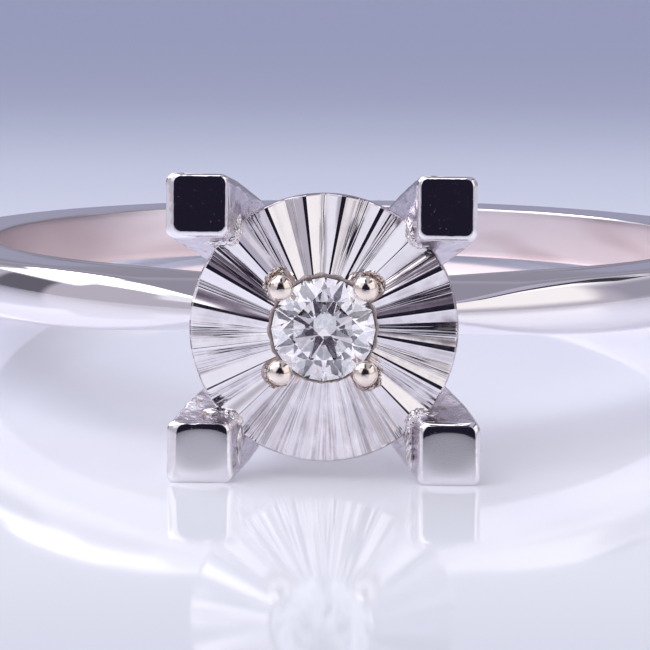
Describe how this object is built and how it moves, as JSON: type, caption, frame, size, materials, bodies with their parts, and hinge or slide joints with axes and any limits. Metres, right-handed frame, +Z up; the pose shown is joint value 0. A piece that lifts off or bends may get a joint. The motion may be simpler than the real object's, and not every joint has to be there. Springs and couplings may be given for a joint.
{
  "type": "illusion-set solitaire ring",
  "caption": "Polished white-gold solitaire ring lying on its side, with square corner posts around a fluted plate that holds a small round brilliant.",
  "frame": {"origin": "middle of the whole ring's outline, on the surface that it lies on", "axes": "+Z up, away from that surface; the head faces -Y and the band's back is towards +Y; +X to the right, seen from the head"},
  "size_m": [0.0202, 0.0239, 0.007],
  "materials": {
    "white_gold": "mirror-polished, rhodium-plated white gold; flutes bright cut, solder left rough",
    "warm_white_gold": "polished unplated white gold with a warm tint",
    "brilliant": "polished colourless cut stone"
  },
  "bodies": {
    "root": {"ring_mounting": "white_gold", "collet": "warm_white_gold", "stone": "brilliant"}
  },
  "joints": []
}
